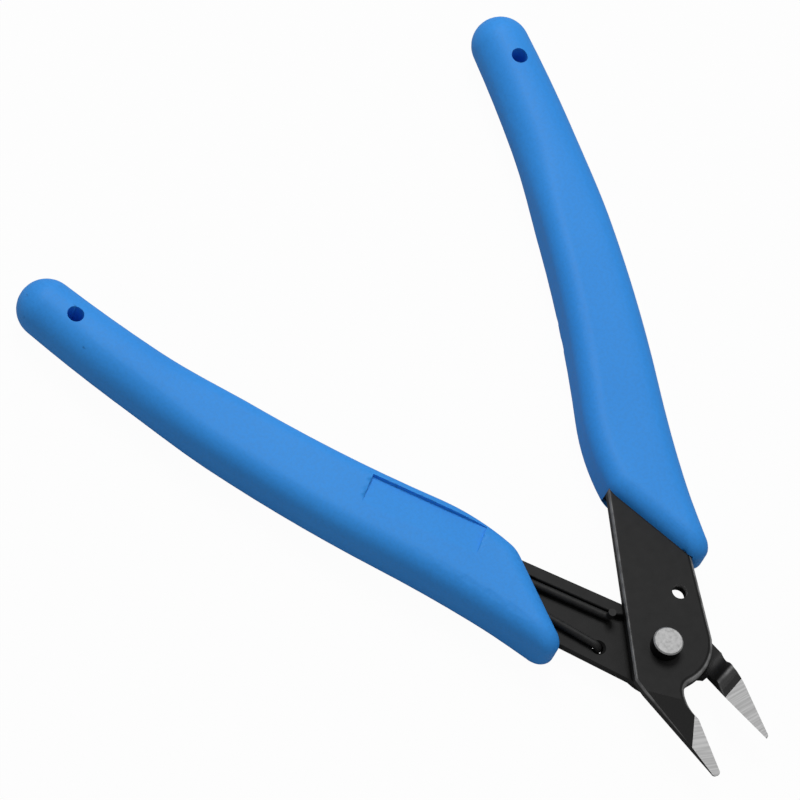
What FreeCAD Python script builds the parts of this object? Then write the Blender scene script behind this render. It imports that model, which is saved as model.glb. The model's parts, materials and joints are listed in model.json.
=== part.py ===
"""Flush cut pliers: two stamped steel halves on one rivet, a wire return spring and two moulded grips.

Every piece is drawn as it lies in the closed tool. There the pivot axis is x = y = 0, the plane in which
the halves slide on each other is z = 0, the blade tips point along +Y and the cutting edges meet at
x = 0. The front half has its handle at -X; the rear half is drawn the same way with x turned round.
At the end both sides are opened about the pivot and the tool is laid on its back at the origin.
"""
import FreeCAD, Part

import math
import os

import Sketcher

V = FreeCAD.Vector

SIZES = {
    # stamped halves
    "steel": 2.0,  # sheet thickness
    "web_drop": 1.25,  # floor of the rear half, below the sliding plane
    "slide_gap": 0.05,  # play between sliding faces
    "half_opening": 13.88,  # each side, degrees, in the open tool
    "inner_lean": 17.8,  # inner edge of both handles against Y, degrees
    "inner_start": 6.3,
    "inner_start_up": 3.2,
    "front_lean": 12.5,  # outer edge of the front handle against Y, degrees
    "front_waist": 7.9,
    "front_waist_up": 0.9,
    "rear_lean": 14.4,
    "rear_waist": 5.8,
    "rear_waist_up": 0.5,
    "straight_end": 40.0,  # where the straight handle sides end
    "core_short": 14.0,  # end of the steel inside the grips, ahead of the centre of their round ends
    "core_middle": 20.7,  # centre of that end, off the closed centre line
    "core_end_width": 6.2,
    "side_radius": 240.0,  # long curve of both sides of the steel core
    "edge_round": 0.9,  # rolled front edge of the front half
    "edge_break": 0.25,  # small rounding of the other edges that a hand can touch
    "back_round": 0.9,  # rolled back edge of the rear half
    "tooling_hole": 2.4,
    "hook_hole": 1.7,
    "hook_sink": 0.35,  # countersink of the hook's hole
    "front_hole_out": 6.3,
    "rear_hole_out": 5.35,
    "hole_back": 7.6,
    # flanges
    "front_flange_depth": 2.5,
    "rear_flange_height": 1.8,
    "flange_setback": 2.0,  # start of the tall flanges behind the grip's mouth
    "rim_width": 2.1,
    "rim_start": 7.4,
    "rim_turn": 1.9,  # rounded front end of the rim, along the handle
    "rim_round": 2.4,
    # blades
    "reach": 20.9,  # pivot to the front blade's tip
    "rear_short": 0.55,  # rear tip behind the front one
    "edge_start": 11.8,  # pivot to the back end of the cutting edges
    "grind_start": 9.78,  # where the flush ground plane leaves the front face
    "grind_angle": 9.1,
    "edge_angle": 58.0,  # undercut behind the cutting edges
    "undercut": 20.0,  # size of the undercut, of which this share runs back past the edges:
    "undercut_back": 0.19,
    "tip_width": 1.35,
    "tip_round": 0.5,
    "throat_width": 0.1,
    "throat_up": 7.5,
    "throat_sweep": 6.2,
    "throat_foot": 1.3,
    "throat_foot_up": 6.35,
    "throat_round": 1.8,
    "front_shoulder": 8.0,
    "front_root": 5.8,
    "front_root_up": 5.6,
    "bevel_angle": 8.08,
    "bevel_turn": 33.4,
    "rear_blade_drop": 0.3,  # front face of the rear blade below that of the front half
    "rear_edge_lean": 1.2,  # the rear edge leans across, so that the tips meet first, degrees
    "rear_tip_width": 0.5,
    "rear_tip_round": 0.38,
    "rear_root": 7.6,
    "rear_root_up": 4.6,
    "rear_blade_width": 7.3,
    "rear_blade_up": 6.7,
    "rear_neck_width": 5.1,
    "rear_neck_up": 9.7,
    "rear_ground_width": 3.95,
    "rear_ground_up": 12.6,
    "rear_throat": 2.7,
    "rear_throat_foot": 0.9,
    "rear_throat_foot_up": 5.8,
    "rear_throat_round": 2.9,
    "rear_shoulder": 6.2,
    "joggle_start": 6.3,
    "joggle_end": 10.7,
    # rivet
    "shank": 3.2,
    "head": 4.6,
    "head_height": 2.15,
    "head_chamfer": 0.2,
    "boss": 9.4,  # raised seat of the rear half round the rivet
    "recess": 6.4,  # hollow behind that seat
    "tail": 5.6,
    "tail_height": 1.1,
    # spring
    "wire": 1.2,
    "wire_bend": 0.9,
    "wire_clearance": 0.03,
    "hook_shift": 0.2,  # hook off the middle of its hole, outward
    "spring_back": 27.0,  # pivot to the far end of its loop
    "loop_width": 3.0,
    "spring_tip_back": 9.3,
    "spring_tip_height": 1.2,
    # grips
    "grip_thickness": 9.0,
    "grip_round": 3.0,
    "nose": 2.0,
    "nose_out": 12.0,
    "nose_back": 13.6,
    "mouth_lean": 27.7,
    "corner": 5.0,
    "bulge": 37.0,
    "waist_back": 40.0,
    "waist_outer": 18.6,
    "waist_inner": 5.05,
    "outer_sweep": 250.0,
    "inner_sweep": 229.0,
    "cap": 4.55,
    "cap_out": 21.0,
    "cap_back": 102.5,
    "hang_hole": 2.6,
    "hang_forward": 4.5,  # hanging hole ahead of the centre of the round end
    # bare recess in the rear grip
    "panel_length": 18.6,
    "panel_width": 5.3,
    "panel_floor": 3.7,  # height of its inner side above the middle of the grip
    "panel_out": 4.5,
    "panel_back": 31.4,
    "panel_lean": 17.2,
    "panel_tilt": 8.6,
}

doc = FreeCAD.newDocument("flush_cut_pliers")
sheet = doc.addObject("Spreadsheet::Sheet", "sizes")
for row, (alias, number) in enumerate(SIZES.items(), start=1):
    sheet.set(f"A{row}", alias)
    sheet.set(f"B{row}", str(number))
    sheet.setAlias(f"B{row}", alias)
doc.recompute()


class Size:
    """A value worked out from the sheet, with the expression that binds a property to the same cells."""

    def __init__(self, number, text):
        self.number = number
        self.text = text

    def __add__(self, other):
        other = size(other)
        return Size(self.number + other.number, f"({self.text} + {other.text})")

    def __sub__(self, other):
        other = size(other)
        return Size(self.number - other.number, f"({self.text} - {other.text})")

    def __mul__(self, other):
        other = size(other)
        return Size(self.number * other.number, f"({self.text} * {other.text})")

    def __truediv__(self, other):
        other = size(other)
        return Size(self.number / other.number, f"({self.text} / {other.text})")

    def __neg__(self):
        return Size(-self.number, f"(0 - {self.text})")


def size(value):
    """A sheet alias, a plain number or a Size, as a Size."""
    if isinstance(value, Size):
        return value
    if isinstance(value, str):
        return Size(float(sheet.get(value)), f"sizes.{value}")
    return Size(float(value), repr(float(value)))


def trig(name, angle):
    """sin, cos or tan of an angle in degrees."""
    angle = size(angle)
    return Size(getattr(math, name)(math.radians(angle.number)), f"{name}({angle.text} * 1 deg)")


# sketches


def add_body(name):
    body = doc.addObject("PartDesign::Body", name)
    body.Label = name
    return body


def add_sketch(body, name, role="XY_Plane", level=None):
    """A sketch on one of the body's own origin planes, lifted to a level along that plane's normal."""
    sketch = body.newObject("Sketcher::SketchObject", name)
    planes = [plane for plane in body.Origin.OriginFeatures if plane.Role == role]
    sketch.AttachmentSupport = [(planes[0], "")]
    sketch.MapMode = "FlatFace"
    if level is not None:
        sketch.setExpression(".AttachmentOffset.Base.z", size(level).text)
    return sketch


def pin(sketch, element, vertex, corner, side):
    """Hold one vertex of a sketch element at a corner given by two sizes."""
    for kind, axis, place in (("DistanceX", -2, corner[0] * side), ("DistanceY", -1, corner[1])):
        if abs(place.number) < 1e-9:
            sketch.addConstraint(Sketcher.Constraint("PointOnObject", element, vertex, axis))
            continue
        index = sketch.addConstraint(
            Sketcher.Constraint(kind, -1, 1, element, vertex, place.number)
        )
        sketch.setExpression(f"Constraints[{index}]", place.text)


def arc_middle(start, end, radius):
    """Middle of the short arc from start to end; a positive radius bulges to the right of travel."""
    chord = end - start
    normal = V(chord.y, -chord.x, 0).normalize()
    rise = abs(radius) - math.sqrt(radius * radius - chord.Length**2 / 4)
    return (start + end) * 0.5 + normal * math.copysign(rise, radius)


def outline(sketch, corners, side=1):
    """Closed profile. Each corner is (x, y) reached by a line or (x, y, radius) reached by an arc."""
    corners = [tuple(size(part) for part in corner) for corner in corners]
    points = [V(corner[0].number * side, corner[1].number, 0) for corner in corners]
    joints = []
    for index, corner in enumerate(corners):
        start = points[index - 1]
        end = points[index]
        if len(corner) == 2:
            element = sketch.addGeometry(Part.LineSegment(start, end), False)
            joints.append((element, 1, 2))
            continue
        middle = arc_middle(start, end, corner[2].number * side)
        arc = Part.Arc(start, middle, end)
        element = sketch.addGeometry(arc, False)
        turned = (sketch.getPoint(element, 1) - start).Length > 1e-6
        joints.append((element, 2, 1) if turned else (element, 1, 2))
        rounding = sketch.addConstraint(Sketcher.Constraint("Radius", element, abs(corner[2].number)))
        text = corner[2].text if corner[2].number > 0 else (-corner[2]).text
        sketch.setExpression(f"Constraints[{rounding}]", text)
    for index, (element, _, last) in enumerate(joints):
        following = joints[(index + 1) % len(joints)]
        sketch.addConstraint(
            Sketcher.Constraint("Coincident", element, last, following[0], following[1])
        )
        pin(sketch, element, last, corners[index], side)


def circle(sketch, centre, diameter, side=1):
    across = size(diameter)
    where = tuple(size(part) for part in centre)
    middle = V(where[0].number * side, where[1].number, 0)
    element = sketch.addGeometry(Part.Circle(middle, V(0, 0, 1), across.number / 2), False)
    index = sketch.addConstraint(Sketcher.Constraint("Diameter", element, across.number))
    sketch.setExpression(f"Constraints[{index}]", across.text)
    pin(sketch, element, 3, where, side)


# features


def checked(feature, grows):
    """Recompute and make sure that the feature adds or removes material as it should."""
    body = feature.getParentGeoFeatureGroup()
    before = feature.BaseFeature.Shape.Volume if feature.BaseFeature else 0.0
    doc.recompute()
    change = feature.Shape.Volume - before
    if (change > 0) != grows or abs(change) < 1e-6:
        raise RuntimeError(f"{body.Label}: {feature.Name} changes the volume by {change:.4f}")
    return feature


def pad(body, sketch, length):
    feature = body.newObject("PartDesign::Pad", f"{sketch.Name}_pad")
    feature.Profile = sketch
    feature.setExpression("Length", size(length).text)
    return checked(feature, True)


def pocket(body, sketch, depth, reverse=False, both_ways=False):
    feature = body.newObject("PartDesign::Pocket", f"{sketch.Name}_pocket")
    feature.Profile = sketch
    feature.Reversed = reverse
    if both_ways:
        feature.SideType = "Symmetric"
    feature.setExpression("Length", size(depth).text)
    return checked(feature, False)


def dress(body, kind, name, amount, chosen):
    """A Fillet or Chamfer on the edges of the body's last feature for which chosen(edge) is true."""
    base = body.Tip
    names = [f"Edge{number}" for number, edge in enumerate(base.Shape.Edges, 1) if chosen(edge)]
    if not names:
        raise RuntimeError(f"{body.Label}: no edge for {name}")
    feature = body.newObject(f"PartDesign::{kind}", name)
    feature.Base = (base, names)
    feature.setExpression("Radius" if kind == "Fillet" else "Size", size(amount).text)
    doc.recompute()
    return feature


def middle_of(edge):
    return edge.valueAt((edge.FirstParameter + edge.LastParameter) / 2)


def is_level(edge, height):
    """True for an edge that lies wholly at one height."""
    return abs(edge.BoundBox.ZMin - height) < 1e-4 and abs(edge.BoundBox.ZMax - height) < 1e-4


def block_at(name, base, turn, extent, run=0.5):
    """A box whose corner line passes through base along its own X; it fills its own +Y and +Z.

    run is the share of its length that lies behind base.
    """
    block = doc.addObject("Part::Box", name)
    for edge in ("Length", "Width", "Height"):
        block.setExpression(edge, size(extent).text)
    place = V(*(size(part).number for part in base))
    back = turn.multVec(V(size(extent).number * run, 0, 0))
    block.Placement = FreeCAD.Placement(place - back, turn)
    return block


def turned(yaw, pitch):
    """A turn by yaw about Z after a tilt by pitch about X."""
    about_z = FreeCAD.Rotation(V(0, 0, 1), size(yaw).number)
    return about_z * FreeCAD.Rotation(V(1, 0, 0), size(pitch).number)


def remove(name, base, tools):
    """base without the tools, as one Part::Cut after another."""
    for number, tool in enumerate(tools, 1):
        cut = doc.addObject("Part::Cut", name if number == len(tools) else f"{name}_cut_{number}")
        cut.Base = base
        cut.Tool = tool
        cut.Refine = True
        base = cut
    return base


# lines that several pieces share, as x at a distance y; handles lie at negative x and y


def inner_edge(y):
    """Inner edge of both halves."""
    return size("inner_start") - trig("tan", "inner_lean") * (size("inner_start_up") - y)


def front_edge(y):
    """Outer edge of the front handle."""
    return -size("front_waist") - trig("tan", "front_lean") * (size("front_waist_up") - y)


def rear_edge(y):
    """Outer edge of the rear handle."""
    return -size("rear_waist") - trig("tan", "rear_lean") * (size("rear_waist_up") - y)


def core_sides(outer_edge, inset, start_outer, start_inner, end_inset=None):
    """Corners of the steel handle or of its channel, from the outer start round the end to the inner."""
    end = size(0) if end_inset is None else size(end_inset)
    inset = size(inset)
    straight = -size("straight_end")
    back = end + "core_short" - "cap_back"
    half = size("core_end_width") / 2 - inset
    return [
        (outer_edge(size(start_outer)) + inset, start_outer),
        (outer_edge(straight) + inset, straight),
        (-size("core_middle") - half, back, "side_radius"),
        (half - "core_middle", back),
        (inner_edge(straight) - inset, straight, -size("side_radius")),
        (inner_edge(size(start_inner)) - inset, start_inner),
    ]


def mouth_y(x, setback):
    """y of the line that runs along the grip's mouth, moved back into the grip by setback."""
    nose_x = trig("cos", "mouth_lean") * "nose" - "nose_out"
    nose_y = trig("sin", "mouth_lean") * "nose" - "nose_back"
    return nose_y - setback - (size(x) - nose_x) / trig("tan", "mouth_lean")


def flange_start(edge, setback):
    """y at which a handle edge passes under the line behind the mouth."""
    lean = (edge(size(0)) - edge(size(-1)))
    at_zero = mouth_y(edge(size(0)), setback)
    return at_zero / (size(1) + lean / trig("tan", "mouth_lean"))


# the two halves: the front one is a flat plate, the rear one is set down and joggled at its blade


def handle_sides(outer_edge):
    """The visible part of a handle and its steel core inside the grip, outer side first."""
    return core_sides(outer_edge, 0, 0, 0)[1:5]


def add_flanges(body, prefix, outer_edge, level, height, side):
    """The tall flanges that turn the handle into a channel inside its grip."""
    setback = size("flange_setback")
    outer_start = flange_start(outer_edge, setback)
    inner_start = flange_start(inner_edge, setback)
    ring = add_sketch(body, f"{prefix}_flanges", level=level)
    outline(ring, core_sides(outer_edge, 0, outer_start, inner_start), side)
    pad(body, ring, height)
    channel = add_sketch(body, f"{prefix}_channel", level=level)
    outline(channel, core_sides(outer_edge, "steel", outer_start + 6, inner_start + 6, "steel"), side)
    pocket(body, channel, height, reverse=True)


def add_holes(body, prefix, top, depth, bore, hole, hole_out, side):
    pivot_bore = add_sketch(body, f"{prefix}_bore", level=top)
    circle(pivot_bore, (0, 0), bore, side)
    pocket(body, pivot_bore, depth)
    small_hole = add_sketch(body, f"{prefix}_{hole}", level=top)
    circle(small_hole, (-size(hole_out), -size("hole_back")), hole, side)
    pocket(body, small_hole, depth)


def grind_height(y):
    """Height of the flush ground plane at a distance from the pivot."""
    return size("steel") - trig("tan", "grind_angle") * (size(y) - "grind_start")


def ground(name, body, prefix, side, edge_lean, *more):
    """The stamped blank with its flush front face, the undercut behind its edge, and any other cut."""
    grind = turned(0, -size("grind_angle"))
    flush = block_at(f"{prefix}_grind", (0, "grind_start", "steel"), grind, 60)
    angle = math.radians(size("edge_angle").number)
    down = V(side * math.cos(angle), 0, -math.sin(angle))
    away = V(-side * math.sin(angle), 0, -math.cos(angle))
    along = down.cross(away)
    turn = grind * turned(-edge_lean, 0) * FreeCAD.Rotation(along, down, away, "XYZ")
    edge_base = (0, "edge_start", grind_height("edge_start"))
    share = size("undercut_back").number
    under = block_at(
        f"{prefix}_undercut", edge_base, turn, "undercut", share if side > 0 else 1 - share
    )
    return remove(name, body, [flush, under, *more])


def front_half():
    body = add_body("front_blank")
    plan = add_sketch(body, "front_plan")
    tip = size("reach")
    outline(plan, [
        ("inner_start", "inner_start_up"),
        ("front_root", "front_root_up"),
        ("tip_width", tip - "tip_round"),
        (size("tip_width") - "tip_round", tip, "tip_round"),
        ("tip_round", tip),
        (0, tip - "tip_round", "tip_round"),
        (0, "edge_start"),
        ("throat_width", "throat_up", -size("throat_sweep")),
        (-size("throat_foot"), "throat_foot_up", -size("throat_round")),
        (-size("front_waist"), "front_waist_up", "front_shoulder"),
        *handle_sides(front_edge),
    ])
    pad(body, plan, "steel")
    depth = size("front_flange_depth")
    add_flanges(body, "front", front_edge, -depth, depth, 1)
    bore = size("shank") + size("slide_gap") * 2
    add_holes(body, "front", "steel", "steel", bore, "tooling_hole", "front_hole_out", 1)
    top = size("steel").number
    waist = size("front_waist").number
    straight = size("straight_end").number


    def rolled(edge):
        where = middle_of(edge)
        outer = where.x < -waist * 0.9 and where.y > -straight
        shoulder = where.x < 0 < where.y < size("throat_up").number and where.Length > 5
        return is_level(edge, top) and len(edge.Vertexes) == 2 and (outer or shoulder)

    dress(body, "Fillet", "rolled_edge", "edge_round", rolled)

    def inside(edge):
        where = middle_of(edge)
        on_side = abs(where.x - inner_edge(size(where.y)).number) < 0.01 and where.y < 0
        return is_level(edge, top) and on_side

    dress(body, "Fillet", "inner_edge_break", "edge_break", inside)
    bevel = block_at(
        "front_bevel", ("front_root", "front_root_up", "steel"),
        turned(-size("bevel_turn"), -size("bevel_angle")), 60,
    )
    return ground("front_half", body, "front", 1, size(0), bevel)


def rear_half():
    side = -1
    body = add_body("rear_blank")
    thick = size("steel")
    floor = -size("web_drop")
    under = floor - thick
    blade_top = thick - "rear_blade_drop"
    tip = size("reach") - "rear_short"
    tip_start = tip - "rear_tip_round"
    lean = trig("tan", "rear_edge_lean") * (size("edge_start") - tip_start)
    plan = add_sketch(body, "rear_plan", level=under)
    outline(plan, [
        ("inner_start", "inner_start_up"),
        ("rear_root", "rear_root_up"),
        ("rear_blade_width", "rear_blade_up"),
        ("rear_neck_width", "rear_neck_up"),
        ("rear_ground_width", "rear_ground_up"),
        ("rear_tip_width", tip_start),
        (lean, tip_start, "rear_tip_round"),
        (0, "edge_start"),
        ("rear_throat", "throat_up"),
        (-size("rear_throat_foot"), "rear_throat_foot_up", -size("rear_throat_round")),
        (-size("rear_waist"), "rear_waist_up", "rear_shoulder"),
        *handle_sides(rear_edge),
    ], side)
    pad(body, plan, blade_top - under)

    # the blank is as deep as web and blade together; both faces of its joggle are cut out of it
    start = size("joggle_start")
    end = size("joggle_end")
    rise = blade_top - floor
    run = end - start
    bend = (run * run + rise * rise) / (rise * 4)
    half_run = run / 2
    half_rise = rise / 2
    above = add_sketch(body, "joggle_front", "YZ_Plane")
    outline(above, [
        (-size("cap_back"), blade_top + 1),
        (-size("cap_back"), floor),
        (start, floor),
        (start + half_run, floor + half_rise, bend),
        (end, blade_top, -bend),
        (end, blade_top + 1),
    ])
    pocket(body, above, 80, both_ways=True)
    lean_x = half_run / bend * thick
    lean_z = (bend - half_rise) / bend * thick
    below = add_sketch(body, "joggle_back", "YZ_Plane")
    outline(below, [
        (start, under - 1),
        (start, under),
        (start + half_run + lean_x, floor + half_rise - lean_z, bend + thick),
        (end, blade_top - thick, thick - bend),
        (tip + 2, blade_top - thick),
        (tip + 2, under - 1),
    ])
    pocket(body, below, 40, both_ways=True)

    rim = add_sketch(body, "rear_rim", level=floor)
    rim_back = flange_start(inner_edge, size("flange_setback")) - 3
    rim_front = -size("rim_start")
    width = size("rim_width")
    outline(rim, [
        (inner_edge(rim_back), rim_back),
        (inner_edge(rim_front), rim_front),
        (inner_edge(rim_front - "rim_turn") - width, rim_front - "rim_turn", "rim_round"),
        (inner_edge(rim_back) - width, rim_back),
    ], side)
    pad(body, rim, size("web_drop") - "slide_gap")
    rim_top = -size("slide_gap").number
    dress(body, "Fillet", "rim_edge", "edge_break", lambda edge: is_level(edge, rim_top))
    seat = add_sketch(body, "rear_seat", level=floor)
    circle(seat, (0, 0), "boss")
    pad(body, seat, size("web_drop") - "slide_gap")
    hollow = add_sketch(body, "rear_recess", level=under)
    circle(hollow, (0, 0), "recess")
    pocket(body, hollow, size("web_drop") - "slide_gap", reverse=True)
    add_flanges(body, "rear", rear_edge, floor, size("rear_flange_height") - floor, side)
    depth = thick + "web_drop"
    add_holes(body, "rear", -size("slide_gap"), depth, "shank", "hook_hole", "rear_hole_out", side)
    web = floor.number
    hook = V(size("rear_hole_out").number, -size("hole_back").number, web)

    def mouth_of_hook(edge):
        return is_level(edge, web) and len(edge.Vertexes) == 1 and (middle_of(edge) - hook).Length < 2

    dress(body, "Chamfer", "hook_sink", "hook_sink", mouth_of_hook)
    lowest = under.number
    waist = size("rear_waist").number
    straight = size("straight_end").number

    def rolled(edge):
        where = middle_of(edge)
        outer = where.x > waist * 0.9 and 0 > where.y > -straight
        return is_level(edge, lowest) and len(edge.Vertexes) == 2 and outer

    dress(body, "Fillet", "rolled_back_edge", "back_round", rolled)
    return ground("rear_half", body, "rear", side, -size("rear_edge_lean") * side)


# rivet


def pivot_rivet():
    body = add_body("pivot_rivet")
    profile = add_sketch(body, "rivet_profile", "XZ_Plane")
    under_seat = -size("slide_gap") - size("steel")
    face = size("steel") + "slide_gap"
    top = face + "head_height"
    chamfer = size("head_chamfer")
    radius = size("head") / 2
    outline(profile, [
        (0, under_seat - "tail_height"),
        (size("tail") / 2 - chamfer, under_seat - "tail_height"),
        (size("tail") / 2, under_seat - size("tail_height") / 2, "tail_height"),
        (size("tail") / 2, under_seat),
        (size("shank") / 2, under_seat),
        (size("shank") / 2, face),
        (radius, face),
        (radius, top - chamfer),
        (radius - chamfer, top),
        (0, top),
    ])
    turned_piece = body.newObject("PartDesign::Revolution", "rivet_turning")
    turned_piece.Profile = profile
    turned_piece.ReferenceAxis = (profile, ["V_Axis"])
    turned_piece.Angle = 360
    checked(turned_piece, True)
    return body


# spring


def rounded_path(corners, radii):
    """Edges of straight runs joined by tangent arcs, one radius for each corner between the ends."""
    edges = []
    start = corners[0]
    for before, corner, after, radius in zip(corners, corners[1:], corners[2:], radii):
        inward = (before - corner).normalize()
        onward = (after - corner).normalize()
        half = inward.getAngle(onward) / 2
        reach = radius / math.tan(half)
        bisector = (inward + onward).normalize()
        middle = corner + bisector * (radius / math.sin(half) - radius)
        first = corner + inward * reach
        last = corner + onward * reach
        edges.append(Part.LineSegment(start, first).toShape())
        edges.append(Part.Arc(first, middle, last).toShape())
        start = last
    edges.append(Part.LineSegment(start, corners[-1]).toShape())
    return edges


def return_spring():
    """Hairpin wire: one leg hooks into the rear web, the loop lies in the channel, the tip stands up."""
    radius = size("wire").number / 2
    play = size("wire_clearance").number
    level = play + radius - size("web_drop").number
    hook_depth = level - size("steel").number * 0.9
    hook_x = (size("rear_hole_out") + "hook_shift").number
    hook_y = -size("hole_back").number
    back = -size("spring_back").number
    tip_y = -size("spring_tip_back").number
    slope = 1 / math.cos(math.radians(size("inner_lean").number))
    beside_rim = size("rim_width").number + (radius + play * 4) * slope

    def free_leg(y):
        return beside_rim - inner_edge(size(y)).number

    hook_leg = free_leg(back) + size("loop_width").number
    loop = size("loop_width").number * 0.46
    bend = size("wire_bend").number
    corners = [
        V(hook_x, hook_y, hook_depth),
        V(hook_x, hook_y, level),
        V(hook_leg, back, level),
        V(free_leg(back), back, level),
        V(free_leg(tip_y), tip_y, level),
        V(free_leg(tip_y), tip_y, size("spring_tip_height").number),
    ]
    path = Part.Wire(rounded_path(corners, [bend, loop, loop, bend]))
    section = Part.Wire(Part.Circle(corners[0], V(0, 0, 1), radius).toShape())
    spring = doc.addObject("Part::Feature", "return_spring")
    spring.Shape = path.makePipeShell([section], True, False)
    return spring


# grips


def meeting(first, first_radius, second, second_radius, turn):
    """Where two circles cross, on the side given by the sign of turn."""
    apart = second - first
    along = (first_radius**2 - second_radius**2 + apart.Length**2) / (2 * apart.Length)
    across = math.sqrt(first_radius**2 - along**2)
    apart.normalize()
    return first + apart * along + V(-apart.y, apart.x, 0) * (across * turn)


def grip_centres():
    """Centres of the seven tangent arcs of a grip's outline, in the order in which they are drawn."""
    nose_at = V(-size("nose_out").number, -size("nose_back").number, 0)
    cap_at = V(-size("cap_out").number, -size("cap_back").number, 0)
    outer = V(-size("waist_outer").number, -size("waist_back").number, 0)
    inner = V(-size("waist_inner").number, -size("waist_back").number, 0)
    nose = size("nose").number
    cap = size("cap").number
    outer_sweep = size("outer_sweep").number
    inner_sweep = size("inner_sweep").number
    bulge = size("bulge").number
    corner = size("corner").number
    outer_at = meeting(outer, outer_sweep, cap_at, outer_sweep - cap, 1)
    outward = (outer - outer_at).normalize()
    apart = outer - nose_at
    hollow = (apart.Length**2 - nose**2) / (2 * (nose - apart.dot(outward)))
    hollow_at = outer + outward * hollow
    inner_at = meeting(inner, inner_sweep, cap_at, inner_sweep + cap, 1)
    bulge_at = inner + (inner - inner_at).normalize() * bulge
    lean = math.radians(size("mouth_lean").number)
    normal = V(math.cos(lean), math.sin(lean), 0)
    slope = V(math.sin(lean), -math.cos(lean), 0)
    base = nose_at + normal * (nose - corner)
    foot = base + slope * (bulge_at - base).dot(slope)
    run = math.sqrt((bulge - corner) ** 2 - (bulge_at - foot).Length ** 2)
    corner_at = foot + slope * run
    return [nose_at, hollow_at, outer_at, cap_at, inner_at, bulge_at, corner_at], normal


def grip_plan(body, name, side):
    """Tangent outline of a grip: nose, outer side in two sweeps, round end, inner side, corner, mouth."""
    sketch = add_sketch(body, name, level=-size("grip_thickness") / 2)
    centres, normal = grip_centres()
    nose_at, hollow_at, outer_at, cap_at, inner_at, bulge_at, corner_at = centres
    waist = -size("waist_back").number

    def towards(centre, other, radius):
        return centre + (other - centre).normalize() * radius

    mouth_top = nose_at + normal * size("nose").number
    nose_end = towards(nose_at, hollow_at, size("nose").number)
    outer = V(-size("waist_outer").number, waist, 0)
    cap_start = towards(cap_at, outer_at, -size("cap").number)
    cap_end = towards(cap_at, inner_at, size("cap").number)
    inner = V(-size("waist_inner").number, waist, 0)
    bulge_end = towards(corner_at, bulge_at, -size("corner").number)
    knee = corner_at + normal * size("corner").number
    arcs = [
        (nose_at, mouth_top, nose_end, "nose"),
        (hollow_at, nose_end, outer, None),
        (outer_at, outer, cap_start, "outer_sweep"),
        (cap_at, cap_start, cap_end, "cap"),
        (inner_at, cap_end, inner, "inner_sweep"),
        (bulge_at, inner, bulge_end, "bulge"),
        (corner_at, bulge_end, knee, "corner"),
    ]
    joints = []
    for centre, start, end, radius in arcs:
        apex = towards(centre, (start + end) * 0.5, (start - centre).Length)
        points = [V(point.x * side, point.y, 0) for point in (start, apex, end)]
        element = sketch.addGeometry(Part.Arc(*points), False)
        flipped = (sketch.getPoint(element, 1) - points[0]).Length > 1e-6
        joints.append((element, 2, 1) if flipped else (element, 1, 2))
        if radius:
            index = sketch.addConstraint(
                Sketcher.Constraint("Radius", element, size(radius).number)
            )
            sketch.setExpression(f"Constraints[{index}]", size(radius).text)
    line = [V(point.x * side, point.y, 0) for point in (knee, mouth_top)]
    mouth = sketch.addGeometry(Part.LineSegment(*line), False)
    joints.append((mouth, 1, 2))
    for index, (element, _, last) in enumerate(joints):
        following = joints[(index + 1) % len(joints)]
        sketch.addConstraint(
            Sketcher.Constraint("Tangent", element, last, following[0], following[1])
        )
    pin(sketch, joints[0][0], 3, (-size("nose_out"), -size("nose_back")), side)
    pin(sketch, joints[3][0], 3, (-size("cap_out"), -size("cap_back")), side)
    pin(sketch, joints[1][0], joints[1][2], (-size("waist_outer"), -size("waist_back")), side)
    pin(sketch, joints[4][0], joints[4][2], (-size("waist_inner"), -size("waist_back")), side)
    angle = size(90) + "mouth_lean" if side > 0 else size(90) - "mouth_lean"
    index = sketch.addConstraint(
        Sketcher.Constraint("Angle", mouth, math.radians(angle.number))
    )
    sketch.setExpression(f"Constraints[{index}]", angle.text)
    return sketch


def grip(prefix, outer_edge, low, high, side):
    """A moulded grip: rounded all round, with the cavity that its steel core fills."""
    body = add_body(f"{prefix}_grip_body")
    plan = grip_plan(body, f"{prefix}_grip_plan", side)
    pad(body, plan, "grip_thickness")
    hang = add_sketch(body, f"{prefix}_grip_hole", level=size("grip_thickness") / 2)
    circle(hang, (-size("cap_out"), size("hang_forward") - "cap_back"), "hang_hole", side)
    pocket(body, hang, "grip_thickness")
    half = size("grip_thickness").number / 2

    def outer(edge):
        return len(edge.Vertexes) == 2 and (is_level(edge, half) or is_level(edge, -half))

    dress(body, "Fillet", f"{prefix}_grip_edge", "grip_round", outer)
    core = add_sketch(body, f"{prefix}_grip_core", level=low)
    outline(core, core_sides(outer_edge, 0, -5.0, -5.0), side)
    pocket(body, core, size(high) - low, reverse=True)
    return body


def rear_grip():
    body = grip("rear", rear_edge, -size("web_drop") - "steel", "rear_flange_height", -1)
    turn = FreeCAD.Rotation(V(0, 0, 1), size("panel_lean").number)
    turn = turn * FreeCAD.Rotation(V(0, 1, 0), -size("panel_tilt").number)
    panel = doc.addObject("Part::Box", "panel_die")
    panel.setExpression("Length", "sizes.panel_width")
    panel.setExpression("Width", "sizes.panel_length")
    panel.Height = 5
    corner = V(size("panel_out").number, -size("panel_back").number, size("panel_floor").number)
    shift = turn.multVec(V(0, -size("panel_length").number, 0))
    panel.Placement = FreeCAD.Placement(corner + shift, turn)
    return remove("rear_grip", body, [panel])


# assembly


def check_document():
    doc.recompute()
    for thing in doc.Objects:
        if "Invalid" in thing.State or "Error" in thing.State:
            raise RuntimeError(f"{thing.Name} failed: {thing.State}")


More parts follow.
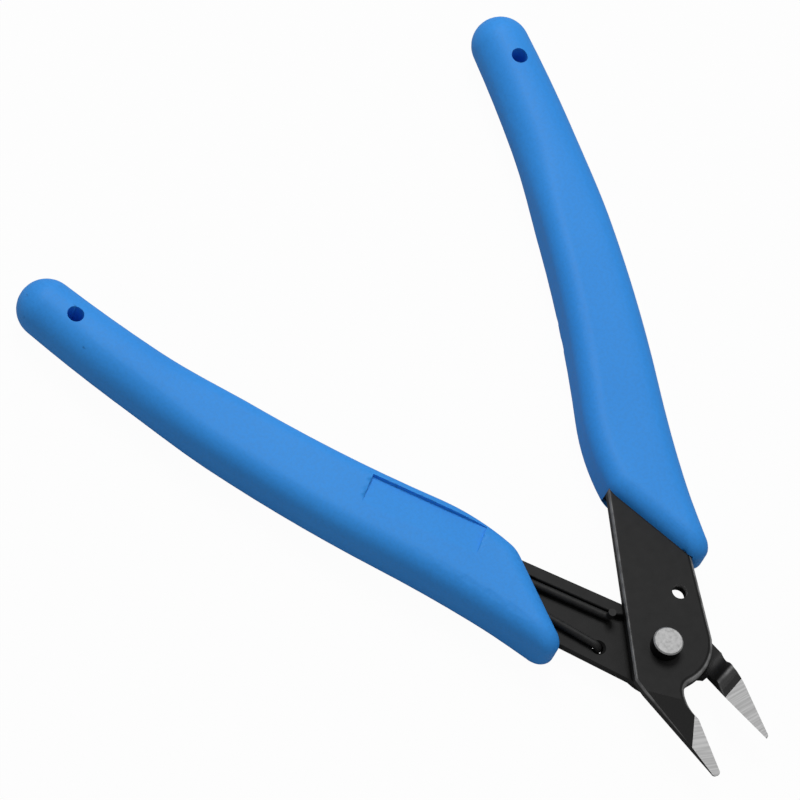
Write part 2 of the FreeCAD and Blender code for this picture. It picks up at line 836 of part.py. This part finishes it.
def main():
    front_grip = grip("front", front_edge, -size("front_flange_depth"), "steel", 1)
    pieces = {
        "front_half": (front_half(), 1),
        "rear_half": (rear_half(), -1),
        "pivot_rivet": (pivot_rivet(), -1),
        "return_spring": (return_spring(), -1),
        "front_grip": (front_grip, 1),
        "rear_grip": (rear_grip(), -1),
    }
    check_document()
    opening = size("half_opening").number
    for name, (piece, side) in pieces.items():
        piece.Label = name
        piece.Placement = FreeCAD.Placement(V(0, 0, 0), FreeCAD.Rotation(V(0, 0, 1), -side * opening))
    doc.recompute()
    reach = FreeCAD.BoundBox()
    for piece, _ in pieces.values():
        reach.add(piece.Shape.BoundBox)
    pivot = V(-(reach.XMin + reach.XMax) / 2, -(reach.YMin + reach.YMax) / 2, -reach.ZMin)
    print("pivot", pivot)
    for piece, side in pieces.values():
        piece.Placement = FreeCAD.Placement(pivot, FreeCAD.Rotation(V(0, 0, 1), -side * opening))
    check_document()
    os.makedirs("parts", exist_ok=True)
    for name, (piece, _) in pieces.items():
        shape = piece.Shape
        if shape.isNull() or not shape.isValid() or len(shape.Solids) != 1:
            raise RuntimeError(f"{name} is not one valid solid: {len(shape.Solids)} {shape.isValid()}")
        shape.exportStep(f"parts/{name}.step")
        print(name, "volume", round(shape.Volume, 1))


main()
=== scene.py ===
# %% [markdown]
# # Flush cut pliers
# A pair of flush cutters is two stamped steel halves on one rivet, with a thin return spring and
# two long vinyl grips. The solid model has nearly every shape, and only the edges of the grips are
# made fuller here. Most of this lesson is about finishes: soft moulded vinyl, black oxide on
# pressed steel, and the bright faces that a grinding wheel leaves.

import json
import math

import bmesh
import bpy
from mathutils import Matrix, Quaternion, Vector
from mathutils.bvhtree import BVHTree


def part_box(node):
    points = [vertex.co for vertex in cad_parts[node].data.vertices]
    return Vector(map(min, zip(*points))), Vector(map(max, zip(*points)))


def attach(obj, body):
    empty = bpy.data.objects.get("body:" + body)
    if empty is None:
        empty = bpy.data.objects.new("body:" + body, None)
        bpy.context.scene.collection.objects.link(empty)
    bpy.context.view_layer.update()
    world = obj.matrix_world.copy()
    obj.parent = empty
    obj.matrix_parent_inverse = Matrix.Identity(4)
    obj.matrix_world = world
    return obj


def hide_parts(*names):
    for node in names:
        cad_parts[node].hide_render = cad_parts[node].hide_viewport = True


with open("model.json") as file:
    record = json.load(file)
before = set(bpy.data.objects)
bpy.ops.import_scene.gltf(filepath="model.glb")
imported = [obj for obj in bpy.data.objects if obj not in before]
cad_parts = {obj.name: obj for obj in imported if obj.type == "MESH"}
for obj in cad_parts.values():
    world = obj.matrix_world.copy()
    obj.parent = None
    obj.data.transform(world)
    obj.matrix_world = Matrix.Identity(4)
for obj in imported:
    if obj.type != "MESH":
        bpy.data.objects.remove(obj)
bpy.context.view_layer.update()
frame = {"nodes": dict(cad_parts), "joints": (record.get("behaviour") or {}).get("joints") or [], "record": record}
nodes = frame["nodes"]
MM = 0.001
print("pieces:", sorted(nodes))

# %% [markdown]
# ## Where the joint is
# Every pattern on the steel is laid out from the pivot, so its place is read from the joint itself.
# The halves slide on each other in the plane half way up the grips. Each half is turned about the
# pivot by half the opening, the front one clockwise and the rear one the other way. The opening is
# a size of the solid model, written again here.

# %% Pivot, sliding plane and opening
joint = frame["joints"][0]
grip_low, grip_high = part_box("front_grip")
plane_z = (grip_low[2] + grip_high[2]) / 2
pivot = Vector((joint["pos_m"][0], joint["pos_m"][1], plane_z))
half_opening = math.radians(13.88)
print("pivot at", [round(value / MM, 2) for value in pivot], "mm")


# %% [markdown]
# ## Two helpers for materials
# Colours are written as the hex values a paint chart would give, and turned to linear light once.
# A node tree is easier to read when adding a node, setting it and wiring it is a single line.

# %% Colour and node helpers
def colour(text):
    """Linear RGBA from an sRGB hex value."""
    parts = [int(text[place:place + 2], 16) / 255 for place in (1, 3, 5)]
    linear = [v / 12.92 if v <= 0.04045 else ((v + 0.055) / 1.055) ** 2.4 for v in parts]
    return (*linear, 1.0)


def add(tree, kind, settings=None, inputs=None):
    """Add a node, set its properties and sockets, and return it."""
    node = tree.nodes.new(kind)
    for name, value in (settings or {}).items():
        setattr(node, name, value)
    for name, value in (inputs or {}).items():
        if isinstance(value, bpy.types.NodeSocket):
            tree.links.new(value, node.inputs[name])
        else:
            node.inputs[name].default_value = value
    return node


def new_material(name):
    """A material with its shader, its node tree and the Object coordinates in millimetres."""
    material = bpy.data.materials.new(name)
    material.use_nodes = True
    tree = material.node_tree
    shader = tree.nodes["Principled BSDF"]
    where = add(tree, "ShaderNodeTexCoord")
    scale = add(tree, "ShaderNodeVectorMath", {"operation": "SCALE"},
                {0: where.outputs["Object"], "Scale": 1 / MM})
    return material, tree, shader, scale.outputs[0]


def ramp(tree, factor, stops):
    """A colour ramp through (position, grey or hex) stops."""
    node = add(tree, "ShaderNodeValToRGB", inputs={"Fac": factor})
    while len(node.color_ramp.elements) < len(stops):
        node.color_ramp.elements.new(0.5)
    for element, (place, value) in zip(node.color_ramp.elements, stops):
        element.position = place
        element.color = colour(value) if isinstance(value, str) else (value, value, value, 1)
    return node.outputs["Color"]


# %% [markdown]
# ## Full edges of the grips
# The solid grips have one rolled edge all round. The real vinyl is rounder than that: along the
# outer sides the edge is part of the way to a half round as thick as the grip, and the hanging ends
# are domes. A fillet that grows along an edge is hard to hold, so here the points of a copy are
# moved instead. A flat face has points only at its rim, so the copy is first cut into a grid. Where
# the mesh lay a little below its true roll, the new points go back out to it before any other move.

# %% Welding and sharp edges
weld = 0.001 * MM
sliver = 0.03 * MM
sharp_angle = math.radians(35)


def welded_copy(name):
    """A copy of a solid's mesh as one skin, with its sharp edges marked before anything moves."""
    shape = bmesh.new()
    shape.from_mesh(nodes[name].data)
    bmesh.ops.remove_doubles(shape, verts=shape.verts, dist=weld)
    shape.verts.index_update()
    shape.normal_update()
    for edge in shape.edges:
        edge.smooth = len(edge.link_faces) == 2 and edge.calc_face_angle(0) < sharp_angle
    return shape


# %% The outer wall of a grip
bead = (grip_high[2] - grip_low[2]) / 2
wall_height = 1.5
roll_radius = bead - wall_height * MM
slack = 0.01
on_wall = 0.05 * MM


def outer_wall(shape):
    """A search tree of the upright faces between the two rolled edges of the solid grip."""
    walls = []
    for face in shape.faces:
        height = max(abs(vert.co.z - plane_z) for vert in face.verts) / MM
        if abs(face.normal.z) < slack and abs(height - wall_height) < slack:
            walls.append([vert.index for vert in face.verts])
    print("outer wall:", len(walls), "faces")
    return BVHTree.FromPolygons([vert.co for vert in shape.verts], walls)


def seen_from_wall(wall, point):
    """How far inside the outer wall a point lies, and which way the wall faces there."""
    level = Vector((point.x, point.y, plane_z))
    place, facing, _, _ = wall.find_nearest(level)
    inside = (level - place).to_2d().length
    if inside > on_wall:
        facing = (place - level).to_2d().to_3d().normalized()
    return inside, facing


# %% Cut into a grid
grid_step = 0.8 * MM
level_shares = (-0.5, 0, 0.5)


def cut(shape, place, normal):
    bmesh.ops.bisect_plane(shape, geom=shape.verts[:] + shape.edges[:] + shape.faces[:],
                           dist=weld, plane_co=place, plane_no=normal)


def cut_grid(shape):
    """Cuts across and along at even steps, and a few level ones that let the wall become round."""
    low = Vector(map(min, *[vert.co for vert in shape.verts]))
    high = Vector(map(max, *[vert.co for vert in shape.verts]))
    for axis in (0, 1):
        normal = Vector((axis == 0, axis == 1, 0))
        for count in range(1, int((high[axis] - low[axis]) / grid_step) + 1):
            cut(shape, low + normal * grid_step * count, normal)
    for share in level_shares:
        cut(shape, Vector((0, 0, plane_z + share * wall_height * MM)), Vector((0, 0, 1)))
    bmesh.ops.remove_doubles(shape, verts=shape.verts, dist=sliver)


# %% How full each edge is
# A fullness of 0 keeps the rolled edge and 1 gives a half round. The lengths are distances from the
# hanging hole for the dome, and from the pivot for the nose.
inner_fullness = 0.0
outer_fullness = 0.4
dome_start = 14 * MM
dome_fade = 16 * MM
nose_start = 18 * MM
nose_fade = 10 * MM


def ease(value):
    value = min(max(value, 0), 1)
    return value * value * (3 - 2 * value)


def fullness_at(point, facing, outward, hole):
    """Full at the hanging end, less along the outer side, and none along the inner side or nose."""
    share = (1 + facing.dot(outward)) / 2
    along = inner_fullness + (outer_fullness - inner_fullness) * share
    along *= ease(((point - pivot).length - nose_start) / nose_fade)
    dome = ease(1 - ((point - hole).length - dome_start) / dome_fade)
    return along + (1 - along) * dome


# %% Move a point
roll_start = 40 * MM
roll_depth = 0.93


def onto_roll(vert, inside, facing):
    """Put a point that a cut left just under the rolled edge out on it; returns its new inset."""
    rise = abs(vert.co.z - plane_z) - wall_height * MM
    share = math.hypot(roll_radius - inside, rise) / roll_radius
    away = (vert.co - pivot).length > roll_start
    if not (away and rise > 0 and inside < roll_radius and roll_depth < share < 1):
        return inside
    vert.co += facing * (roll_radius - inside) * (1 / share - 1)
    vert.co.z += math.copysign(rise * (1 / share - 1), vert.co.z - plane_z)
    return roll_radius - (roll_radius - inside) / share


def towards_bead(vert, inside, facing, outward, hole):
    """Draw a point that stands outside a round bead along the outline in towards it."""
    across = bead - inside
    up = vert.co.z - plane_z
    size = math.hypot(max(across, 0), up)
    if across > 0 and size > bead:
        pull = fullness_at(vert.co, facing, outward, hole) * (1 - bead / size)
        vert.co -= facing * across * pull
        vert.co.z -= up * pull


# %% Two fuller grips
def full_edges(name, outward, hole):
    """Replace a grip with a copy whose edges are fuller."""
    shape = welded_copy(name)
    wall = outer_wall(shape)
    cut_grid(shape)
    for vert in shape.verts:
        inside, facing = seen_from_wall(wall, vert.co)
        inside = onto_roll(vert, inside, facing)
        towards_bead(vert, inside, facing, outward, hole)
    for face in shape.faces:
        face.smooth = True
    mesh = bpy.data.meshes.new(name + "_full")
    shape.to_mesh(mesh)
    shape.free()
    piece = bpy.data.objects.new(name + "_full", mesh)
    bpy.context.scene.collection.objects.link(piece)
    weighted = piece.modifiers.new("flat faces lead", "WEIGHTED_NORMAL")
    weighted.keep_sharp = True
    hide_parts(name)
    print(piece.name, len(mesh.polygons), "faces")
    return piece


mounts = {mount["name"]: Vector(mount["pos_m"]) for mount in frame["record"]["mounts"]}
turned = Matrix.Rotation(half_opening, 3, "Z")
front_grip = full_edges("front_grip", turned.inverted() @ Vector((-1, 0, 0)),
                        mounts["hang_hole_front"])
rear_grip = full_edges("rear_grip", turned @ Vector((1, 0, 0)), mounts["hang_hole_rear"])
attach(front_grip, "front_side")
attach(rear_grip, "rear_side")

# %% [markdown]
# ## Moulded vinyl grips
# The grips are soft vinyl, moulded and pushed over the steel. Vinyl has a low sheen, and its mould
# is lightly blasted, so highlights are broad. A grain of about half a millimetre, coarser than the
# real blasting so that it shows, and a slow unevenness over 20 mm keep it from looking like painted
# wood.

# %% Grip vinyl
def grip_vinyl():
    material, tree, shader, place = new_material("grip_vinyl")
    grain = add(tree, "ShaderNodeTexNoise", inputs={"Vector": place, "Scale": 2.2, "Detail": 4.0})
    slow = add(tree, "ShaderNodeTexNoise", inputs={"Vector": place, "Scale": 0.05, "Detail": 1.0})
    base = ramp(tree, slow.outputs["Fac"], [(0.3, "#2C90E8"), (0.7, "#3296EE")])
    speck = ramp(tree, grain.outputs["Fac"], [(0.35, 0.93), (0.6, 1.0)])
    tint = add(tree, "ShaderNodeMix", {"data_type": "RGBA", "blend_type": "MULTIPLY"},
               {0: 1.0, 6: base, 7: speck}).outputs[2]
    gloss = ramp(tree, grain.outputs["Fac"], [(0.3, 0.56), (0.7, 0.64)])
    bump = add(tree, "ShaderNodeBump", inputs={
        "Height": grain.outputs["Fac"], "Strength": 0.25, "Distance": 0.02 * MM})
    tree.links.new(tint, shader.inputs["Base Color"])
    tree.links.new(gloss, shader.inputs["Roughness"])
    tree.links.new(bump.outputs["Normal"], shader.inputs["Normal"])
    shader.inputs["IOR"].default_value = 1.5
    shader.inputs["Specular IOR Level"].default_value = 0.35
    return material


# %% [markdown]
# ## Black oxide with ground faces
# Both halves are blackened after pressing, and then one wheel grinds the front of both blades to
# the same plane, which cuts through the black and leaves bright steel. So the bright area is not
# painted on: it is wherever the surface lies in the plane of the wheel. The material works that
# out from the distance to the plane.

# %% Ground plane of the blades
grind_start = 9.78
grind_angle = math.radians(9.1)
sheet_face = 2.0
front_face = plane_z / MM + sheet_face
grind_point = pivot + Vector((0, 0, sheet_face)) * MM
plane_slack = 0.03
ground_cosine = 0.9992


def grind_normal(turn):
    """Normal of the ground plane on a half turned about the pivot."""
    return Matrix.Rotation(turn, 3, "Z") @ Vector((0, math.sin(grind_angle), math.cos(grind_angle)))


def grind_origin(turn):
    return grind_point + Matrix.Rotation(turn, 3, "Z") @ Vector((0, grind_start * MM, 0))


def ground_mask(tree, place, facing, turn):
    """1 on faces that lie in the plane of the wheel and look the same way, and 0 elsewhere."""
    normal = grind_normal(turn)
    start = grind_origin(turn) / MM
    offset = add(tree, "ShaderNodeVectorMath", {"operation": "SUBTRACT"}, {0: place, 1: start})
    height = add(tree, "ShaderNodeVectorMath", {"operation": "DOT_PRODUCT"},
                 {0: offset.outputs[0], 1: normal})
    near = add(tree, "ShaderNodeMath", {"operation": "COMPARE"},
               {0: height.outputs["Value"], 1: 0.0, 2: plane_slack})
    along = add(tree, "ShaderNodeVectorMath", {"operation": "DOT_PRODUCT"}, {0: facing, 1: normal})
    flat = add(tree, "ShaderNodeMath", {"operation": "GREATER_THAN"},
               {0: along.outputs["Value"], 1: ground_cosine})
    bare = add(tree, "ShaderNodeMath", {"operation": "MULTIPLY"},
               {0: near.outputs[0], 1: flat.outputs[0]})
    return bare.outputs[0]


# %% [markdown]
# ## Painted highlight on the black
# The black is painted lighter, as a highlight, along the rounded front edges of the sheet and on the
# raised rim of the rear half. Both are found from the way the surface faces and from its height, and
# a noise breaks them up, so that no edge is evenly bright.

# %% Painted highlight on edges and rim
edge_flat, edge_steep = 0.96, 0.8
highlight_low, highlight_high = 1.1, 0.6
rim_height = 0.35
rim_end = 4


def painted_highlight_mask(tree, place, upright, mottle, rim_highlight):
    """How much painted highlight lightens the black, from 0 to 1."""
    level = add(tree, "ShaderNodeSeparateXYZ", inputs={"Vector": place})
    edge = add(tree, "ShaderNodeMapRange", {"interpolation_type": "SMOOTHSTEP"}, {
        "Value": upright, "From Min": edge_flat, "From Max": edge_steep})
    near_front_face = add(tree, "ShaderNodeMapRange", {"interpolation_type": "SMOOTHSTEP"}, {
        "Value": level.outputs["Z"],
        "From Min": front_face - highlight_low, "From Max": front_face - highlight_high})
    edge = add(tree, "ShaderNodeMath", {"operation": "MULTIPLY"},
               {0: edge.outputs[0], 1: near_front_face.outputs[0]})
    raised = add(tree, "ShaderNodeMath", {"operation": "GREATER_THAN"},
                 {0: level.outputs["Z"], 1: plane_z / MM + rim_height})
    behind = add(tree, "ShaderNodeMath", {"operation": "LESS_THAN"},
                 {0: level.outputs["Y"], 1: pivot.y / MM - rim_end})
    rim = add(tree, "ShaderNodeMath", {"operation": "MULTIPLY"},
              {0: raised.outputs[0], 1: behind.outputs[0]})
    rim = add(tree, "ShaderNodeMath", {"operation": "MULTIPLY"}, {0: rim.outputs[0], 1: rim_highlight})
    both = add(tree, "ShaderNodeMath", {"operation": "ADD", "use_clamp": True},
               {0: edge.outputs[0], 1: rim.outputs[0]})
    patchy = add(tree, "ShaderNodeMapRange", inputs={
        "Value": mottle, "From Min": 0.35, "From Max": 0.6, "To Min": 0.4, "To Max": 1.0})
    painted_highlight = add(tree, "ShaderNodeMath", {"operation": "MULTIPLY"},
               {0: both.outputs[0], 1: patchy.outputs[0]})
    return painted_highlight.outputs[0]


# %% [markdown]
# ## One material for each half
# The long slope between the front half's boss and its blade gets painted shade: it is the darkest
# face, and it is picked out by its angle. The wheel leaves fine lines across the bright faces. They
# are a noise that is stretched to 8 mm one way and squeezed the other, to about four lines in a
# millimetre, which is coarser than real grinding so that it shows.

# %% Black steel
bevel_angle = math.radians(8.08)
bevel_slack = 0.0012
line_length, line_gap = 8.0, 0.28


def black_steel(name, turn, line_turn, rim_highlight):
    material, tree, shader, place = new_material(name)
    facing = add(tree, "ShaderNodeTexCoord").outputs["Normal"]
    upright = add(tree, "ShaderNodeSeparateXYZ", inputs={"Vector": facing}).outputs["Z"]
    mottle = add(tree, "ShaderNodeTexNoise", inputs={"Vector": place, "Scale": 0.6, "Detail": 6.0})
    pits = add(tree, "ShaderNodeTexNoise", inputs={"Vector": place, "Scale": 5.0, "Detail": 3.0})
    bare = ground_mask(tree, place, facing, turn)
    painted_highlight = painted_highlight_mask(tree, place, upright, mottle.outputs["Fac"], rim_highlight)

    black = ramp(tree, mottle.outputs["Fac"], [(0.3, "#0C0C0C"), (0.7, "#151515")])
    # Painted shade: the slope between boss and blade is made near black, picked out by its angle.
    shaded_slope_mask = add(tree, "ShaderNodeMath", {"operation": "COMPARE"},
                 {0: upright, 1: math.cos(bevel_angle), 2: bevel_slack})
    painted_slope_shade = add(tree, "ShaderNodeMix", {"data_type": "RGBA"},
               {0: shaded_slope_mask.outputs[0], 6: black, 7: colour("#020202")})
    # Painted highlight: the mask lightens the rounded front edges and the rim towards light grey.
    skin = add(tree, "ShaderNodeMix", {"data_type": "RGBA"},
               {0: painted_highlight, 6: painted_slope_shade.outputs[2], 7: colour("#8C8C8C")})

    turned = add(tree, "ShaderNodeMapping", {"vector_type": "TEXTURE"}, {
        "Vector": place, "Rotation": (0, 0, line_turn), "Scale": (line_length, line_gap, 1.0)})
    lines = add(tree, "ShaderNodeTexNoise", inputs={
        "Vector": turned.outputs[0], "Scale": 1.0, "Detail": 2.0})
    bright = ramp(tree, lines.outputs["Fac"], [(0.36, "#BCBCBC"), (0.64, "#D4D4D4")])

    tint = add(tree, "ShaderNodeMix", {"data_type": "RGBA"},
               {0: bare, 6: skin.outputs[2], 7: bright})
    metal = add(tree, "ShaderNodeMapRange", inputs={"Value": bare, "To Min": 0.0, "To Max": 0.6})
    rough = add(tree, "ShaderNodeMapRange", inputs={"Value": bare, "To Min": 0.5, "To Max": 0.6})
    relief = add(tree, "ShaderNodeMix", {"data_type": "FLOAT"},
                 {0: bare, 2: pits.outputs["Fac"], 3: lines.outputs["Fac"]})
    bump = add(tree, "ShaderNodeBump", inputs={
        "Height": relief.outputs[0], "Strength": 0.3, "Distance": 0.02 * MM})
    tree.links.new(tint.outputs[2], shader.inputs["Base Color"])
    tree.links.new(metal.outputs[0], shader.inputs["Metallic"])
    tree.links.new(rough.outputs[0], shader.inputs["Roughness"])
    tree.links.new(bump.outputs["Normal"], shader.inputs["Normal"])
    shader.inputs["Specular IOR Level"].default_value = 0.25
    return material


# %% [markdown]
# ## Rivet and spring
# The rivet is turned from bare steel and its head is set with a flat punch, which leaves the top
# bright with a soft polish, while the side of the head is given painted shade, near black. The spring
# is hard drawn wire, blackened like the halves.

# %% Rivet steel and spring wire
def rivet_steel():
    material, tree, shader, place = new_material("rivet_steel")
    marks = add(tree, "ShaderNodeTexNoise", inputs={"Vector": place, "Scale": 1.6, "Detail": 4.0})
    bright = ramp(tree, marks.outputs["Fac"], [(0.3, "#9E9E9E"), (0.7, "#B2B2B2")])
    faces = add(tree, "ShaderNodeTexCoord")
    upward = add(tree, "ShaderNodeSeparateXYZ", inputs={"Vector": faces.outputs["Normal"]})
    # Painted shade: faces that do not look up, the side of the head, are made near black.
    top = add(tree, "ShaderNodeMapRange", {"interpolation_type": "SMOOTHSTEP"}, {
        "Value": upward.outputs["Z"], "From Min": 0.3, "From Max": 0.6})
    tint = add(tree, "ShaderNodeMix", {"data_type": "RGBA"},
               {0: top.outputs[0], 6: colour("#1A1A1A"), 7: bright}).outputs[2]
    gloss = ramp(tree, marks.outputs["Fac"], [(0.3, 0.34), (0.7, 0.5)])
    bump = add(tree, "ShaderNodeBump", inputs={
        "Height": marks.outputs["Fac"], "Strength": 0.3, "Distance": 0.03 * MM})
    tree.links.new(tint, shader.inputs["Base Color"])
    tree.links.new(gloss, shader.inputs["Roughness"])
    tree.links.new(bump.outputs["Normal"], shader.inputs["Normal"])
    shader.inputs["Metallic"].default_value = 0.8
    return material


def spring_wire():
    material, tree, shader, place = new_material("spring_wire")
    drawn = add(tree, "ShaderNodeTexNoise", inputs={"Vector": place, "Scale": 1.5, "Detail": 3.0})
    tint = ramp(tree, drawn.outputs["Fac"], [(0.3, "#1A1A1A"), (0.7, "#262626")])
    tree.links.new(tint, shader.inputs["Base Color"])
    shader.inputs["Roughness"].default_value = 0.55
    shader.inputs["Specular IOR Level"].default_value = 0.3
    return material


# %% [markdown]
# ## Dress the solids
# The steel nodes of the solid model keep their meshes, and the two fuller grips stand in for the
# solid ones. Each piece gets its finish in its material slot. The last angles of the black steel
# turn the grinding lines across each blade.

# %% Finishes on the solids
def dress(piece, material):
    mesh = piece.data
    mesh.materials.clear()
    mesh.materials.append(material)


vinyl = grip_vinyl()
dress(front_grip, vinyl)
dress(rear_grip, vinyl)
# The last value sets the painted highlight on the raised rim: none on the front half, some on the rear.
dress(nodes["front_half"], black_steel("black_steel_front", -half_opening, -0.41, 0.0))
dress(nodes["rear_half"], black_steel("black_steel_rear", half_opening, -0.04, 0.45))
dress(nodes["pivot_rivet"], rivet_steel())
dress(nodes["return_spring"], spring_wire())

# %% [markdown]
# ## Floor
# The tool lies on a plain white surface. Seen straight from the camera the floor is nearly all
# glow, so it stays white with only a trace of shadow. To every other ray it is a plain grey, so
# that it throws no extra light up at the tool.

# %% Floor
def floor_material():
    material = bpy.data.materials.new("floor_white")
    material.use_nodes = True
    tree = material.node_tree
    tree.nodes.clear()
    plain = add(tree, "ShaderNodeBsdfDiffuse", inputs={"Color": (0.5, 0.5, 0.5, 1)})
    glow = add(tree, "ShaderNodeEmission", inputs={"Color": (1, 1, 1, 1), "Strength": 1.0})
    paths = add(tree, "ShaderNodeLightPath")
    direct = add(tree, "ShaderNodeMath", {"operation": "MULTIPLY"},
                 {0: paths.outputs["Is Camera Ray"], 1: 0.97})
    blend = add(tree, "ShaderNodeMixShader",
                inputs={0: direct.outputs[0], 1: plain.outputs[0], 2: glow.outputs[0]})
    add(tree, "ShaderNodeOutputMaterial", inputs={"Surface": blend.outputs[0]})
    return material


bpy.ops.mesh.primitive_plane_add(size=4, location=(0, 0, -0.0002))
floor = bpy.context.object
floor.name = "floor"
floor.data.materials.append(floor_material())

# %% [markdown]
# ## Light
# A large soft lamp stands beyond the ends of the handles and a little to the front grip's side,
# which shades the noses and the sides that look towards the blades. A wider, weaker one stands over
# the tool, and a pale world fills the shadows. The world is white only where the camera sees it.

# %% Lamps
def lamp(name, direction, distance, breadth, power):
    data = bpy.data.lights.new(name, "AREA")
    data.shape = "DISK"
    data.size = breadth
    data.energy = power
    obj = bpy.data.objects.new(name, data)
    bpy.context.scene.collection.objects.link(obj)
    towards = Vector(direction).normalized()
    obj.location = pivot + towards * distance
    obj.rotation_euler = towards.to_track_quat("Z", "Y").to_euler()


lamp("key", (-0.2, -0.5, 0.86), 0.9, 0.45, 4.6)
lamp("top", (-0.3, 0.3, 1.0), 1.2, 1.0, 0.9)


# %% World
def studio_world():
    world = bpy.data.worlds.new("studio")
    world.use_nodes = True
    tree = world.node_tree
    tree.nodes.clear()
    fill = add(tree, "ShaderNodeBackground", inputs={"Color": (1, 1, 1, 1), "Strength": 0.32})
    white = add(tree, "ShaderNodeBackground", inputs={"Color": (1, 1, 1, 1), "Strength": 1.0})
    paths = add(tree, "ShaderNodeLightPath")
    blend = add(tree, "ShaderNodeMixShader", inputs={
        0: paths.outputs["Is Camera Ray"], 1: fill.outputs[0], 2: white.outputs[0]})
    add(tree, "ShaderNodeOutputWorld", inputs={"Surface": blend.outputs[0]})
    return world


bpy.context.scene.world = studio_world()

# %% [markdown]
# ## Camera
# The view looks down on the front face from beyond the blades, about a metre away with a long
# lens, so that the long handles keep their true taper. The camera is rolled, which sets the tool
# diagonally in the frame.

# %% Camera
azimuth = math.radians(27.03)
elevation = math.radians(58.635)
roll = math.radians(27.876)
distance = 995.2 * MM
aim = pivot + Vector((7.84, -54.16, 0)) * MM

towards = Vector((math.cos(azimuth) * math.cos(elevation),
                  math.sin(azimuth) * math.cos(elevation), math.sin(elevation)))
data = bpy.data.cameras.new("camera")
data.sensor_width = 36
data.lens = 298.8
data.clip_start = 0.01
camera = bpy.data.objects.new("camera", data)
bpy.context.scene.collection.objects.link(camera)
camera.location = aim + towards * distance
level = towards.to_track_quat("Z", "Y")
camera.rotation_mode = "QUATERNION"
camera.rotation_quaternion = Quaternion(towards, roll) @ level
bpy.context.scene.camera = camera

# %% [markdown]
# ## Finish
# The colours are meant to render as written, so the view transform is Standard.

# %% Colour management
bpy.context.scene.view_settings.view_transform = "Standard"
